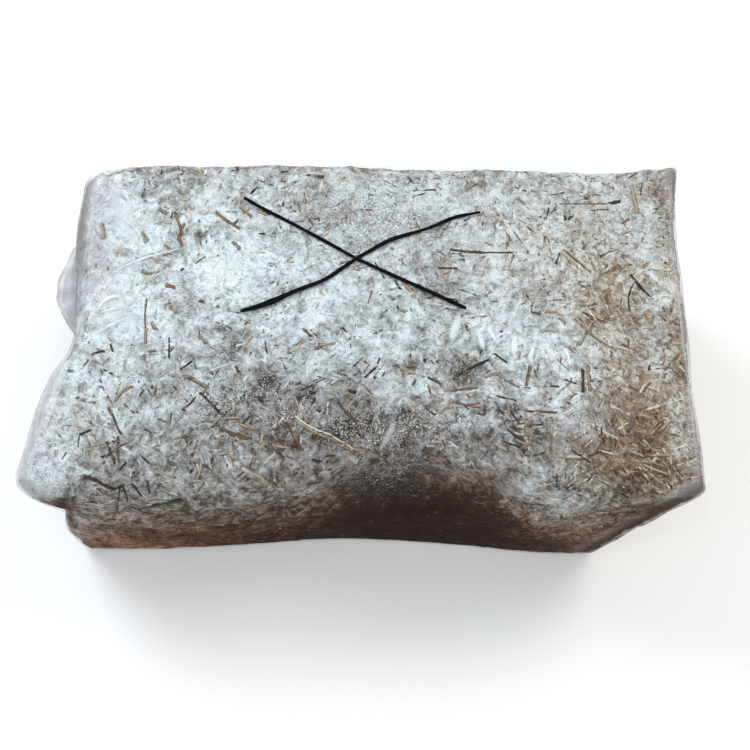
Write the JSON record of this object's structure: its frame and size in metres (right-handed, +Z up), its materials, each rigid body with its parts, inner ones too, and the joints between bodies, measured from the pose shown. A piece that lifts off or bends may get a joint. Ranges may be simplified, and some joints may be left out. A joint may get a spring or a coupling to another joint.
{
  "type": "lion's mane mushroom grow block",
  "caption": "Rectangular mushroom grow block: straw and wood shavings bound by white mycelium, in a clear gusseted film bag, lying flat and ready to be cut for fruiting.",
  "frame": {"origin": "middle of the underside, at the surface the block lies on", "axes": "+X along the block towards the bag's welded end, +Z up through the wide face with the cut mark, -Y the near side"},
  "size_m": [0.38, 0.2206, 0.1264],
  "materials": {
    "mycelium_substrate": "white mycelium over tan and brown straw and wood shavings, matt and fibrous",
    "clear_film": "clear polypropylene bag film, glossy, drawn tight, with creases and condensation"
  },
  "bodies": {
    "root": {"substrate_block": "mycelium_substrate", "film_bag": "clear_film"}
  },
  "joints": []
}
